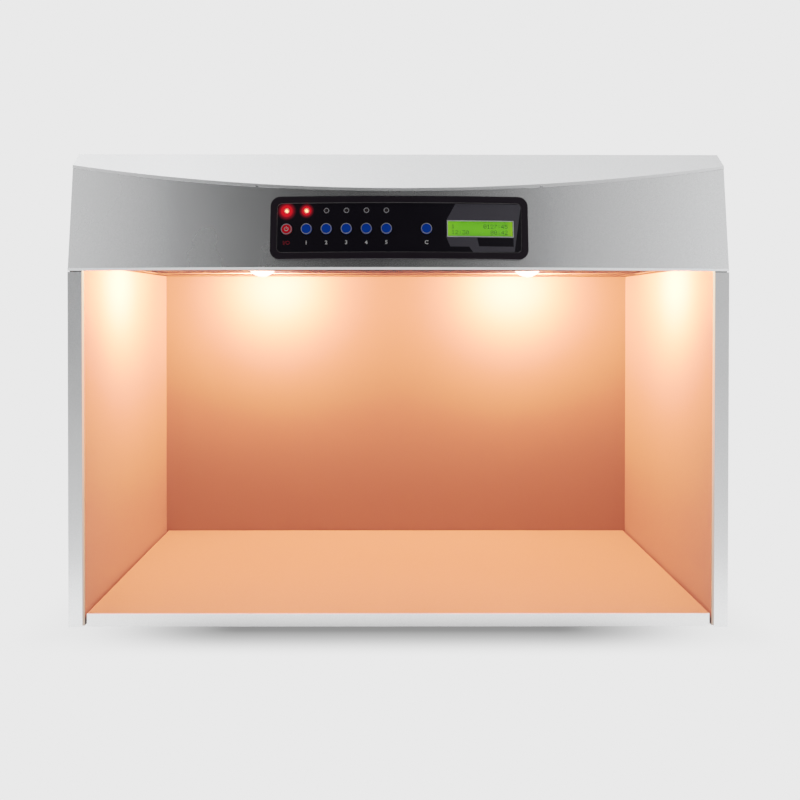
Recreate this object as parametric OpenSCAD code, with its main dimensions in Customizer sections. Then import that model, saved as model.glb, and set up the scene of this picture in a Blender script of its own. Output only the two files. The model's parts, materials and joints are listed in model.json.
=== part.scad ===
// Tabletop colour assessment cabinet: an open-fronted viewing chamber under a bowed lamp head.
// Millimetres, +X to the viewer's right, +Y to the rear, +Z up.
// The origin is on the surface that the feet stand on, under the middle of the whole cabinet.
// Inside placed(), y = 0 is the plane of the side panels' front edges and z = 0 their lower edges.

/* [Cabinet] */
// Width over the side panels and the head
cabinet_w = 710; // [640:5:760]
// Depth of the side panels, front edge to back
body_d = 382; // [376:1:400]
// Height of the side panels
chamber_h = 382; // [360:1:400]
// Thickness of a double-walled side panel
side_t = 15; // [13:0.5:17]
// Gauge of the outer folded steel
sheet_t = 1.2; // [1:0.1:1.5]
// Gauge of the inner liners
liner_t = 1.5; // [1.2:0.1:1.8]
// Thickness of the hem along a side liner's front edge
hem_t = 2.3; // [2:0.1:2.6]
// Depth of that hem
hem_d = 12; // [8:1:20]
// Thickness of the double-walled back
back_t = 16; // [15:0.5:18]

/* [Floor and feet] */
// Height of the viewing floor above the side panels' lower edges
floor_h = 14.5; // [13.5:0.5:16]
// Width of the drop-in floor panel
floor_w = 670.6; // [668:0.1:671]
// Height of a rubber foot
foot_h = 6; // [5:0.5:8]
// Radius of a rubber foot
foot_r = 13; // [12:0.5:15]
// Distance of a foot's centre from the cabinet's sides and front
foot_inset = 48; // [44:1:60]

/* [Head] */
// Height of the head's lower lip
lip_z = 383.1; // [383:0.1:383.6]
// How far the middle of the fascia bows forward of its ends
bow = 35.5; // [30:0.5:40]
// Backward lean of the fascia, in degrees
lean = 8.66; // [6:0.01:10]
// Height of the crease between fascia and sloped band, at the ends
crease_z = 499.1; // [495:0.1:502]
// Slope of the band above the crease, in degrees from level
band_slope = 36.3; // [33:0.1:40]
// Height of the flat top
top_z = 514.2; // [512:0.1:518]
// Gauge of the fascia
fascia_t = 1.5; // [1.2:0.1:2]
// Height of the trim strip along the lip
trim_h = 2.7; // [2:0.1:3.5]
// How far the trim strip stands out from the fascia
trim_proud = 0.6; // [0.4:0.1:1]
// Height of the ceiling above the side panels' lower edges
ceiling_z = 389.2; // [388.5:0.1:390]

/* [Lamps] */
// Place of the left filament bulb across the head
bulb_left_x = -175; // [-190:1:-150]
// Place of the right filament bulb
bulb_right_x = 169; // [150:1:190]
// Distance of the filament bulbs behind the side panels' front edges
bulb_y = 205; // [200:1:206]
// Radius of a bulb's globe
bulb_r = 20.5; // [18:0.5:22.5]
// Height of the lowest point of a bulb
bulb_low_z = 383.6; // [383:0.1:387]
// Radius of a fluorescent tube
tube_r = 13; // [12:0.5:13]
// Length of a tube between its cap faces
tube_l = 590; // [580:1:590]
// Height of the tubes' axes
tube_z = 418; // [416:0.5:420]

/* [Control panel] */
// Width of the bezel along the fascia
bezel_w = 269; // [262:1:280]
// Height of the bezel
bezel_h = 66.5; // [64:0.5:70]
// Corner radius of the bezel
bezel_r = 10; // [6:0.5:12]
// Height of the bezel's middle above the lip, along the fascia
panel_v = 44.6; // [42:0.1:48]
// Width of the rim round the overlay
rim_w = 6.6; // [5:0.1:8]
// Radius of a key cap
key_r = 5.7; // [5:0.1:5.8]
// Distance between neighbouring keys
key_pitch = 20.8; // [20:0.1:21]
// Place of the power key along the fascia
key_first_s = -117.4; // [-119:0.1:-115]
// Place of the clear key along the fascia
clear_s = 28.2; // [24:0.1:32]
// Height of the row of keys above the lip
key_v = 43.2; // [41:0.1:46]
// Travel of a key
key_travel = 0.8; // [0.4:0.1:0.8]
// Height of the row of indicator lamps above the lip
led_v = 62.6; // [60:0.1:64]
// Width of the display window
lcd_w = 68; // [64:0.5:70]
// Height of the display window
lcd_h = 16.8; // [15:0.1:18]
// Place of the display's middle along the fascia
lcd_s = 84.5; // [82:0.5:87]
// Height of the display's middle above the lip
lcd_v = 43.4; // [42:0.1:46]

/* [Mains inlet] */
// Place of the inlet across the back
inlet_x = 255; // [230:1:270]
// Height of the inlet's middle
inlet_z = 444; // [440:1:450]

/* [Hidden] */

$fn = 48;
smooth_fn = 720;
half_w = cabinet_w / 2;
far = 1000;

// Chamber
wall_in = half_w - side_t;
liner_in = wall_in - liner_t;
back_in = body_d - back_t;
back_y = back_in + liner_t;

// Head: the fascia is a piece of a large cylinder whose axis leans back
face_r = (half_w * half_w + bow * bow) / (2 * bow);
crease_y = (crease_z - lip_z) * tan(lean);
cover_lip = 1.6;
cover_proud = 0.8;
notch_x = 150;
notch_w = 3;
cover_drop = 14;
tray_flange_z = chamber_h + sheet_t;
plate_fold = 12;

// Screws and vents in the back
screw_r = 1.5;
screw_head = 1.6;
vent_count = 15;
vent_first_x = 45;
vent_pitch = 9;
vent_z = 425;
vent_r = 1.6;
vent_l = 45;

// Lamp tray and reflector
slot_x = 325;
slot_range = [160, 262];
diffuser_ranges = [[14, 148], [274, 341]];
diffuser_lap = 4.5;
diffuser_t = 3;
divider_ys = [154, 266.5];
tray_top = ceiling_z + sheet_t;
reflector_x = 333;
reflector_top = 446;
reflector_t = 1;
deck_z = reflector_top + reflector_t;
reflector_line = [[0, tray_top], [10, reflector_top], [336, reflector_top], [350, tray_top]];

// Tubes
uv_y = 243;
tube_pitch = 34;
front_tube_y = 28;
rear_tube_y = 288;
tube_rows = concat([for (i = [0 : 3]) front_tube_y + i * tube_pitch],
    [for (i = [0, 1]) rear_tube_y + i * tube_pitch]);
all_tubes = concat([uv_y], tube_rows);
cap_r = 13.2;
cap_l = 8;
pin_r = 1.2;
pin_l = 7.5;
pin_gap = 12.7;
glass_t = 0.8;
holder_t = 18;

// Bulbs
bulb_z = bulb_low_z + bulb_r;
shoulder_h = bulb_r * 2 / 3;
shoulder_r = sqrt(bulb_r * bulb_r - shoulder_h * shoulder_h);
shoulder_l = 8;
neck_r = 8;
neck_l = 4;
neck_z = bulb_z + shoulder_h + shoulder_l + neck_l;
cap_thread_r = 6.6;
cap_top = neck_z + 21;
socket_top = cap_top + 24;
bracket_x = 215;
bracket_reach = 16;

// Deck parts
ballast_size = [150, 38, 28];
ballast_pitch = 157;
ballast_y = 250;
board_z = deck_z + 5;
board_size = [190, 62, 1.6];
board_at = [-60, 105];
supply_at = [250, 100];
supply_size = [90, 60, 32];
terminal_at = [225, 305];
lead_r = 1.6;
lead_z = deck_z + 5;

// Control panel, in millimetres out from the fascia's face
bezel_out = 3;
bezel_in = -6;
overlay_out = 1.8;
overlay_in = 0.3;
window_gap = 0.2;
key_out = 3.2;
key_gap = 0.3;
flange_r = key_r + 1.2;
pcb_depth = 14;
pcb_t = 1.6;
switch_top = 9.6;
source_keys = 5;
led_r = 1.5;
ring_r = 2.75;

// Mains inlet
inlet_flange = [50, 3, 46];
inlet_screw_x = 20;
drawer_proud = 1;
drawer_size = [25, 21, 10];
drawer_z = 13.5;
socket_size = [24.4, 17, 16.4];
socket_z = -6.5;

// Frame: the middle of the whole depth comes to y = 0, the feet to z = 0
y_front = -bow - trim_proud / cos(lean);
y_rear = body_d + inlet_flange[1] + drawer_proud;
module placed() translate([0, -(y_front + y_rear) / 2, foot_h]) children();

// A box between two corners
module span(a, b) translate(a) cube(b - a);

// Both sides of the cabinet
module both_sides() for (side = [0, 1]) mirror([side, 0, 0]) children();

// An eight-sided bar from a to b that runs on past both by part of its radius
module rod(a, b, r) {
    d = b - a;
    len = norm(d);
    translate(a) rotate([0, acos(d[2] / len), atan2(d[1], d[0])]) translate([0, 0, -0.3 * r])
        cylinder(r = r, h = len + 0.6 * r, $fn = 8);
}

// A wire through a list of points
module wire(points, r) for (i = [1 : len(points) - 1]) rod(points[i - 1], points[i], r);

// ---- Head surfaces ----

module lean_frame() translate([0, -bow, lip_z]) rotate([-lean, 0, 0]) children();

// The inside of the fascia's face, moved out by off
module face_solid(off) lean_frame() translate([0, face_r, -60])
    cylinder(r = face_r + off, h = 320, $fn = smooth_fn);

// A skin on the fascia's face between two offsets
module face_skin(out, inn) difference() {
    face_solid(out);
    face_solid(inn);
}

// Everything under the sloped band's plane, moved up by off
module under_band(off) translate([0, crease_y, crease_z]) rotate([band_slope, 0, 0])
    translate([-far / 2, -300, off - 600]) cube([far, 900, 600]);

// The head's flat-sided outline: band, top and rear moved in by i, from z0 up
module head_planes(i, x, z0) intersection() {
    under_band(-i);
    span([-x, -60, z0], [x, body_d - i, top_z - i]);
}

// The whole outline of the head
module head_solid(i, x, z0) intersection() {
    face_solid(-i);
    head_planes(i, x, z0);
}

// Place children on the fascia: s along it, v up it, their own z straight out
module on_face(s, v) lean_frame() translate([0, face_r, 0]) rotate([0, 0, s / face_r * 180 / PI])
    translate([0, -face_r, v]) rotate([90, 0, 0]) children();

// A rounded rectangle that reaches right through the fascia
module panel_prism(w, h, r, s = 0, v = panel_v) on_face(s, v) translate([0, 0, -25])
    linear_extrude(60) rounded(w, h, r);

module rounded(w, h, r) union() {
    square([w - 2 * r, h], center = true);
    square([w, h - 2 * r], center = true);
    for (x = [-1, 1], y = [-1, 1]) translate([x * (w / 2 - r), y * (h / 2 - r)]) circle(r = r);
}

// ---- Viewing chamber ----

module side_shell() difference() {
    span([wall_in, 0, 0], [half_w, body_d, chamber_h]);
    span([wall_in - 1, sheet_t, sheet_t], [half_w - sheet_t, body_d - sheet_t, chamber_h - sheet_t]);
}

module side_liner() union() {
    span([liner_in, 0.6, 1.5], [wall_in, back_in, ceiling_z]);
    span([wall_in - hem_t, 0.6, 1.5], [wall_in, hem_d, ceiling_z]);
}

module left_side_shell() color("silver") placed() mirror([1, 0, 0]) side_shell();
module right_side_shell() color("silver") placed() side_shell();
module left_side_liner() color([0.72, 0.72, 0.7]) placed() mirror([1, 0, 0]) side_liner();
module right_side_liner() color([0.72, 0.72, 0.7]) placed() side_liner();

module back_shell() color("silver") placed() difference() {
    span([-wall_in, back_y, 0], [wall_in, body_d, chamber_h]);
    span([-wall_in + sheet_t, back_y - 1, sheet_t],
        [wall_in - sheet_t, body_d - sheet_t, chamber_h - sheet_t]);
    both_sides() back_screw_places() screw_hole();
}

// Screws that hold the outer back to the liner's frame, on the right-hand side
module back_screw_places() for (x = [60, 320], z = [20, 360]) translate([x, body_d, z]) children();

// Clearance hole for a 3 mm screw through a back panel
module screw_hole() rotate([90, 0, 0]) translate([0, 0, -5]) cylinder(r = screw_r + 0.1, h = 18);

module back_liner() color([0.72, 0.72, 0.7]) placed()
    span([-wall_in, back_in, 1.5], [wall_in, back_y, ceiling_z]);

module floor_panel() color([0.75, 0.75, 0.73]) placed() {
    w = floor_w / 2;
    span([-w, 0, floor_h - sheet_t], [w, back_in - 1.5, floor_h]);
    span([-w, 0, 0.6], [w, sheet_t, floor_h]);
    span([-w, 0, 0.6], [w, 12, 0.6 + sheet_t]);
    both_sides() span([w - sheet_t, 0, 3], [w, back_in - 1.5, floor_h]);
}

// Base plate with three hat-section rails that carry the floor
module base_pan() color("gray") placed() difference() {
    union() {
        span([-liner_in, 14, 0], [liner_in, back_in - 1, sheet_t]);
        for (x = [-220, 0, 220]) difference() {
            span([x - 15, 20, 0], [x + 15, back_in - 8, floor_h - sheet_t]);
            span([x - 15 + sheet_t, 19, sheet_t],
                [x + 15 - sheet_t, back_in - 7, floor_h - 2 * sheet_t]);
        }
    }
    foot_places() translate([0, 0, -1]) cylinder(r = 2.1, h = 5);
}

module foot_places() for (x = [-1, 1], y = [foot_inset, body_d - foot_inset])
    translate([x * (half_w - foot_inset), y, 0]) children();

module rubber_feet() color([0.08, 0.08, 0.08]) placed() foot_places() difference() {
    translate([0, 0, -foot_h]) rotate_extrude()
        polygon([[0, 0], [foot_r - 1.5, 0], [foot_r - 0.5, 1], [foot_r, foot_h], [0, foot_h]]);
    translate([0, 0, -foot_h - 1]) cylinder(r = 5.5, h = 4);
    translate([0, 0, -foot_h - 1]) cylinder(r = 2.1, h = foot_h + 2);
}

module foot_screws() color("silver") placed() foot_places() difference() {
    union() {
        translate([0, 0, -foot_h + 3 - 2.2]) cylinder(r = 4.2, h = 2.2);
        translate([0, 0, -foot_h + 2.9]) cylinder(r = 2, h = foot_h + 3);
    }
    cross_recess(-foot_h + 0.7);
}

// Cross recess cut upwards from z
module cross_recess(z) for (a = [0, 90]) rotate([0, 0, a])
    translate([-2, -0.4, z]) cube([4, 0.8, 1.3]);

// ---- Head sheet metal ----

module front_fascia() color([0.55, 0.56, 0.57]) placed() difference() {
    union() {
        intersection() {
            face_skin(0, -fascia_t);
            under_band(-sheet_t);
            span([-half_w, -60, lip_z + trim_h], [half_w, 60, top_z]);
        }
        // fold under the band
        intersection() {
            face_skin(-fascia_t + 0.1, -plate_fold);
            difference() {
                under_band(-sheet_t);
                under_band(-sheet_t - fascia_t);
            }
            span([-half_w + plate_fold, -60, lip_z], [half_w - plate_fold, 60, top_z]);
        }
    }
    panel_prism(bezel_w - 6, bezel_h - 6, bezel_r - 3);
}

module lip_trim() color([0.9, 0.9, 0.9]) placed() intersection() {
    face_skin(trim_proud, -fascia_t);
    span([-half_w, -60, lip_z], [half_w, 60, lip_z + trim_h]);
}

module top_cover() color([0.85, 0.85, 0.86]) placed() difference() {
    union() {
        intersection() {
            difference() {
                head_planes(0, half_w, lip_z);
                head_planes(sheet_t, far, 0);
            }
            face_solid(cover_proud);
        }
        // turned-down front lip
        intersection() {
            face_skin(cover_proud, 0);
            under_band(-sheet_t + 0.1);
            translate([0, 0, -cover_lip - sheet_t]) difference() {
                translate([0, 0, cover_lip + sheet_t]) under_band(0);
                under_band(0);
            }
            span([-half_w, -60, lip_z], [half_w, 60, top_z]);
        }
    }
    span([-far, body_d - sheet_t - 1, 0], [far, body_d + 1, top_z - cover_drop]);
    both_sides() translate([notch_x - notch_w / 2, -60, crease_z - 50])
        intersection() {
            cube([notch_w, 120, 60]);
            translate([-notch_x, 60, 50 - crease_z]) under_band(-sheet_t);
        }
}

// End plate of the head with a fold all the way round
module head_plate() difference() {
    head_solid(fascia_t, half_w, tray_flange_z);
    head_solid(fascia_t + sheet_t, half_w - sheet_t, tray_flange_z + sheet_t);
    span([-far, -60, 0], [half_w - plate_fold, far, far]);
    rear_screw_places() screw_hole();
}

module left_head_plate() color("silver") placed() mirror([1, 0, 0]) head_plate();
module right_head_plate() color("silver") placed() head_plate();

module rear_panel() color("silver") placed() difference() {
    span([-half_w, body_d - sheet_t, tray_flange_z],
        [half_w, body_d, top_z - cover_drop - 0.3]);
    both_sides() for (i = [0 : vent_count - 1])
        translate([vent_first_x + i * vent_pitch, body_d - 5, vent_z]) vent_slot();
    translate([inlet_x, body_d - 5, inlet_z]) inlet_cutout();
    both_sides() rear_screw_places() screw_hole();
    inlet_screw_places() screw_hole();
}

module vent_slot() rotate([-90, 0, 0]) linear_extrude(10) {
    translate([-vent_r, -vent_l]) square([2 * vent_r, vent_l]);
    for (y = [0, -vent_l]) translate([0, y]) circle(r = vent_r);
}

module inlet_cutout() translate([-14, 0, -16.5]) cube([28, 10, 36]);

// Screws down each end of the head's back, on the right-hand side
module rear_screw_places() for (z = [400, 440, 480]) translate([half_w - 6, body_d, z]) children();

// Pan head with a cross recess, pointing out of the back
module pan_screw(len) rotate([-90, 0, 0]) difference() {
    union() {
        cylinder(r = 2.8, h = screw_head);
        translate([0, 0, -len]) cylinder(r = screw_r, h = len + 0.1);
    }
    translate([0, 0, screw_head + 0.1]) mirror([0, 0, 1]) cross_recess(0);
}

module cover_screws() color("silver") placed() {
    both_sides() rear_screw_places() pan_screw(5);
    inlet_screw_places() translate([0, inlet_flange[1] - screw_head, 0]) pan_screw(8);
    both_sides() back_screw_places() pan_screw(5);
}

module inlet_screw_places() for (x = [-inlet_screw_x, inlet_screw_x])
    translate([inlet_x + x, body_d, inlet_z]) children();

module rating_plate() color([0.8, 0.8, 0.8]) placed() translate([-300, body_d, 400])
    rotate([-90, 0, 0]) translate([35, -25, 0]) linear_extrude(0.5) rounded(70, 50, 3);

// ---- Lamp tray, reflector and diffuser ----

module lamp_tray() color([0.72, 0.72, 0.7]) placed() difference() {
    union() {
        // ceiling, out to the fascia
        intersection() {
            face_solid(-fascia_t);
            union() {
                span([-wall_in - sheet_t, 3, ceiling_z], [wall_in + sheet_t, back_y + sheet_t, tray_top]);
                span([-half_w + plate_fold, -60, ceiling_z], [half_w - plate_fold, 3.1, tray_top]);
            }
        }
        // upstand against the fascia
        intersection() {
            face_skin(-fascia_t, -fascia_t - sheet_t);
            span([-wall_in, -60, ceiling_z], [wall_in, 60, ceiling_z + 3]);
        }
        // folds down behind the liners and out over the outer panels
        both_sides() {
            span([wall_in, 3, chamber_h], [wall_in + sheet_t, back_y + sheet_t, tray_top]);
            span([wall_in, 3, chamber_h], [half_w - sheet_t, body_d - 2 * sheet_t, tray_flange_z]);
        }
        span([-wall_in - 1, back_y, chamber_h], [wall_in + 1, back_y + sheet_t, tray_top]);
        span([-wall_in - 1, back_y, chamber_h], [wall_in + 1, body_d - 2 * sheet_t, tray_flange_z]);
    }
    for (r = concat([slot_range], diffuser_ranges)) span([-slot_x, r[0], 0], [slot_x, r[1], far]);
}

// Opal sheets over the two openings under the tubes
module diffusers() color([0.95, 0.95, 0.95, 0.8]) placed() for (r = diffuser_ranges)
    span([-slot_x - 5, r[0] - diffuser_lap, tray_top],
        [slot_x + 5, r[1] + diffuser_lap, tray_top + diffuser_t]);

// Folded trough: two sloping walls, top, ends and a wall on each side of the open slot
module reflector() color("white") placed() {
    difference() {
        trough(0, reflector_x);
        trough(reflector_t, reflector_x - reflector_t);
        at_bulbs() translate([0, 0, reflector_top - 5]) cylinder(r = 15, h = 10);
    }
    for (y = divider_ys) span([-reflector_x + 0.5, y, tray_top],
        [reflector_x - 0.5, y + reflector_t, reflector_top + 0.5]);
}

// The trough's outline grown by its own gauge at 0, or its inside at the gauge
module trough(i, x) {
    a = reflector_line;
    translate([-x, 0, 0]) rotate([90, 0, 90]) linear_extrude(2 * x) polygon([
        a[0] + [i, i == 0 ? 0 : -1], a[1] + [i, reflector_t - i],
        a[2] + [-i, reflector_t - i], a[3] + [-i, i == 0 ? 0 : -1]]);
}

// ---- Fluorescent tubes ----

module tube_glass(y) color("white") placed() translate([-tube_l / 2 + cap_l, y, tube_z])
    rotate([0, 90, 0]) difference() {
        cylinder(r = tube_r, h = tube_l - 2 * cap_l);
        translate([0, 0, -1]) cylinder(r = tube_r - glass_t, h = tube_l);
    }

module ultraviolet_tube() tube_glass(uv_y);
module daylight_tube_1() tube_glass(tube_rows[0]);
module daylight_tube_2() tube_glass(tube_rows[1]);
module store_tube_1() tube_glass(tube_rows[2]);
module store_tube_2() tube_glass(tube_rows[3]);
module office_tube_1() tube_glass(tube_rows[4]);
module office_tube_2() tube_glass(tube_rows[5]);

module tube_caps() color("silver") placed() both_sides() for (y = all_tubes)
    translate([tube_l / 2 - cap_l, y, tube_z]) rotate([0, 90, 0]) {
        cylinder(r = cap_r, h = cap_l);
        for (p = [-1, 1]) translate([p * pin_gap / 2, 0, cap_l]) cylinder(r = pin_r, h = pin_l);
    }

module tube_holders() color("white") placed() both_sides() for (y = all_tubes)
    translate([tube_l / 2, y, tube_z]) difference() {
        union() {
            translate([0, -12, 0]) cube([holder_t, 24, reflector_top - tube_z]);
            rotate([0, 90, 0]) cylinder(r = 12, h = holder_t);
        }
        rotate([0, 90, 0]) translate([0, 0, -1]) cylinder(r = 8.6, h = 10);
        translate([-1, -1.7, -20]) cube([10, 3.4, 20]);
    }

// ---- Filament bulbs ----

module at_bulbs(places = [bulb_left_x, bulb_right_x]) for (x = places)
    translate([x, bulb_y, 0]) children();

// Globe and neck as one turned profile, open at the top
module bulb_glass() difference() {
    bulb_form(0);
    bulb_form(glass_t);
}

module bulb_form(i) union() {
    translate([0, 0, bulb_z]) sphere(r = bulb_r - i, $fn = 64);
    translate([0, 0, bulb_z + shoulder_h]) cylinder(r1 = shoulder_r - i, r2 = neck_r + 1 - i, h = shoulder_l);
    translate([0, 0, neck_z - neck_l - 0.1])
        cylinder(r1 = neck_r + 1 - i, r2 = neck_r - i, h = neck_l + 0.1 + i);
}

module left_bulb() color([1, 0.9, 0.6]) placed() at_bulbs([bulb_left_x]) bulb_glass();
module right_bulb() color([1, 0.9, 0.6]) placed() at_bulbs([bulb_right_x]) bulb_glass();

module bulb_caps() color("silver") placed() at_bulbs() {
    translate([0, 0, neck_z]) cylinder(r = cap_thread_r, h = cap_top - neck_z);
    for (i = [0 : 5]) translate([0, 0, neck_z + 2.4 + i * 2.8]) rotate_extrude()
        translate([cap_thread_r, 0]) circle(r = 0.6, $fn = 16);
    translate([0, 0, cap_top - 0.1]) cylinder(r1 = 4, r2 = 2.2, h = 2.6);
}

// Glass stem, two support wires and the bent filament inside each globe
module bulb_filaments() color("gold") placed() at_bulbs() {
    translate([0, 0, bulb_z + 3]) cylinder(r = 2.2, h = neck_z - bulb_z - 3);
    for (x = [-1, 1]) rod([x * 1.2, 0, bulb_z + 4], [x * 9, 0, bulb_z - 4], 0.45);
    wire([[-9, 0, bulb_z - 4], [-4.5, 2.5, bulb_z - 5.5], [0, 3, bulb_z - 6],
        [4.5, 2.5, bulb_z - 5.5], [9, 0, bulb_z - 4]], 0.5);
}

module bulb_sockets() color([0.92, 0.9, 0.85]) placed() at_bulbs() difference() {
    union() {
        translate([0, 0, neck_z + 3]) cylinder(r = 12.5, h = socket_top - neck_z - 3);
        translate([0, 0, neck_z + 3]) cylinder(r = 14, h = 3);
    }
    translate([0, 0, neck_z + 2]) cylinder(r = cap_thread_r + 0.9, h = cap_top - neck_z + 1);
}

// Bridge over the reflector that carries both sockets
module socket_bracket() color("silver") placed() {
    front = bulb_y - bracket_reach;
    back = bulb_y + bracket_reach;
    span([-bracket_x, front, socket_top], [bracket_x, back, socket_top + sheet_t]);
    both_sides() {
        span([bracket_x - sheet_t, front, deck_z], [bracket_x, back, socket_top + sheet_t]);
        span([bracket_x - sheet_t, front, deck_z], [bracket_x + 14, back, deck_z + sheet_t]);
    }
}

// ---- Electrics on the reflector's top ----

module ballasts() color([0.85, 0.86, 0.88]) placed() for (i = [0 : 3])
    translate([-235 + i * ballast_pitch - ballast_size[0] / 2, ballast_y, deck_z]) difference() {
        union() {
            translate([8, 0, 0]) cube(ballast_size - [16, 0, 0]);
            cube([ballast_size[0], ballast_size[1], 1.2]);
        }
        for (x = [4, ballast_size[0] - 4])
            translate([x, ballast_size[1] / 2, -1]) cylinder(r = 2.1, h = 5);
    }

module relay_board() color([0.05, 0.35, 0.15]) placed() translate([board_at[0], board_at[1], 0]) {
    difference() {
        translate([-board_size[0] / 2, -board_size[1] / 2, board_z]) cube(board_size);
        board_corners() translate([0, 0, board_z - 1]) cylinder(r = 1.6, h = 5);
    }
    board_corners() translate([0, 0, deck_z]) difference() {
        cylinder(r = 3, h = board_z - deck_z);
        translate([0, 0, 1]) cylinder(r = 1.2, h = 10);
    }
}

module board_corners() for (x = [-1, 1], y = [-1, 1])
    translate([x * (board_size[0] / 2 - 5), y * (board_size[1] / 2 - 5), 0]) children();

module relays() color([0.1, 0.25, 0.7]) placed()
    translate([board_at[0], board_at[1] + 6, board_z + board_size[2]]) for (i = [0 : 5])
        translate([-85 + i * 24, 0, 0]) cube([19, 15.4, 15.5]);

module power_supply() color([0.15, 0.15, 0.16]) placed()
    translate([supply_at[0] - supply_size[0] / 2, supply_at[1] - supply_size[1] / 2, deck_z]) {
        translate([6, 0, 0]) cube(supply_size - [12, 0, 0]);
        difference() {
            cube([supply_size[0], supply_size[1], 2]);
            for (x = [3.2, supply_size[0] - 3.2], y = [8, supply_size[1] - 8])
                translate([x, y, -1]) cylinder(r = 1.8, h = 5);
        }
    }

module terminal_block() color([0.9, 0.9, 0.88]) placed()
    translate([terminal_at[0], terminal_at[1], deck_z]) difference() {
        cube([60, 18, 14]);
        for (i = [0 : 4]) {
            translate([6 + i * 12, 5, 8]) cylinder(r = 2.4, h = 10);
            translate([6 + i * 12, 13, 8]) cylinder(r = 2.4, h = 10);
            translate([6 + i * 12, -1, 5]) rotate([-90, 0, 0]) cylinder(r = 1.8, h = 20);
        }
    }

module wiring_loom() color([0.75, 0.1, 0.1]) placed() {
    // inlet to terminal block
    for (i = [0 : 2]) wire([[inlet_x - 7 + i * 7, body_d - 29.8, inlet_z - 8],
        [inlet_x - 7 + i * 7, body_d - 40, lead_z + 2], [terminal_at[0] + 18 + i * 12, 330, lead_z],
        [terminal_at[0] + 18 + i * 12, terminal_at[1] + 16, lead_z]], lead_r);
    // terminal block along the ballasts
    wire([[terminal_at[0] + 6, terminal_at[1] - 1.1, lead_z], [terminal_at[0] + 6, 297, lead_z],
        [-305, 297, lead_z], [-318, 285, lead_z]], 3);
    for (i = [0 : 3]) wire([[-243 + i * ballast_pitch, 297, lead_z],
        [-243 + i * ballast_pitch, ballast_y + ballast_size[1] + 0.7, lead_z]], 2);
    // terminal block to the supply and the relay board
    supply_back = supply_at[1] + supply_size[1] / 2;
    wire([[terminal_at[0] + 30, terminal_at[1] + 2, lead_z], [terminal_at[0] + 30, 302, lead_z],
        [terminal_at[0] + 30, 294, lead_z + 34], [terminal_at[0] + 18, 240, lead_z + 34],
        [supply_at[0] + 20, supply_back + 7, lead_z + 10],
        [supply_at[0] + 20, supply_back + 2, lead_z + 4]], lead_r);
    wire([[supply_at[0] - 39.8, supply_at[1], lead_z + 8], [130, supply_at[1], lead_z + 6],
        [60, supply_at[1], board_z + 6], [30, board_at[1], board_z + 4]], lead_r);
    // sockets
    for (x = [bulb_left_x, bulb_right_x]) wire([[x, bulb_y, socket_top + 2.4],
        [x, bulb_y, socket_top + 8], [x - sign(x) * 30, bulb_y + 22, socket_top + 8],
        [x - sign(x) * 42, bulb_y + 32, lead_z], [x - sign(x) * 50, bulb_y + 38, lead_z]], lead_r);
}

// Flat cable from the control board over the reflector to the relay board
module ribbon_cable() color([0.7, 0.7, 0.72]) placed() translate([-70, 0, 0])
    rotate([90, 0, 90]) linear_extrude(26) ribbon_line([[-11.5, 432], [-8, 432], [-2, 458],
        [14, 466], [50, 466], [68, 458], [80, board_z + 3.6]], 0.5);

// A polyline as a flat strip of half-thickness t
module ribbon_line(p, t) for (i = [1 : len(p) - 1]) {
    d = p[i] - p[i - 1];
    translate(p[i - 1]) rotate(atan2(d[1], d[0])) translate([-t, -t]) square([norm(d) + 2 * t, 2 * t]);
}

// ---- Control panel ----

module panel_bezel() color([0.06, 0.06, 0.07]) placed() difference() {
    union() {
        intersection() {
            face_skin(bezel_out, 0);
            panel_prism(bezel_w, bezel_h, bezel_r);
        }
        intersection() {
            face_skin(0.5, bezel_in);
            panel_prism(bezel_w - 6.6, bezel_h - 6.6, bezel_r - 3.3);
        }
    }
    panel_prism(bezel_w - 2 * rim_w, bezel_h - 2 * rim_w, bezel_r - 4.5);
}

module panel_overlay() color([0.03, 0.03, 0.04]) placed() difference() {
    intersection() {
        face_skin(overlay_out, overlay_in);
        panel_prism(bezel_w - 2 * rim_w - 0.3, bezel_h - 2 * rim_w - 0.3, bezel_r - 4.65);
    }
    for (s = key_places()) on_face(s, key_v) translate([0, 0, -5]) cylinder(r = key_r + key_gap, h = 15);
    led_places() translate([0, 0, -5]) cylinder(r = led_r + 0.35, h = 15);
    panel_prism(lcd_w, lcd_h, 0.8, lcd_s, lcd_v);
}

function key_places() = concat([for (i = [0 : source_keys]) key_first_s + i * key_pitch], [clear_s]);

module led_places() for (i = [0 : source_keys]) on_face(key_first_s + i * key_pitch, led_v) children();

module lcd_window() color([0.6, 0.75, 0.5, 0.5]) placed() intersection() {
    face_skin(overlay_out - 0.3, overlay_in - 0.5);
    panel_prism(lcd_w - 2 * window_gap, lcd_h - 2 * window_gap, 0.6, lcd_s, lcd_v);
}

// Display glass in its pressed frame on its own small board
module lcd_module() color([0.4, 0.65, 0.15]) placed() on_face(lcd_s, lcd_v) {
    translate([-36, -11, -7.6]) cube([72, 22, 6]);
    translate([-38, -13.5, -9.2]) cube([76, 27, 1.7]);
    for (x = [-34, 34], y = [-10.5, 10.5]) translate([x, y, -lcd_depth(x)])
        cylinder(r = 1.5, h = lcd_depth(x) - 9.1);
}

// Depth of the control board's face under the display, x along it, less a small gap
function lcd_depth(x) = pcb_depth - lcd_s * (lcd_s / 2 + x) / face_r - 0.15;

module control_board() color([0.05, 0.35, 0.15]) placed() lean_frame()
    translate([-118 - 6, pcb_depth, key_v - 21]) cube([236 + 12, pcb_t, 46]);

// Depth of the switches' tops under the face at s
function switch_depth(s) = switch_top - s * s / (2 * face_r);

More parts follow.
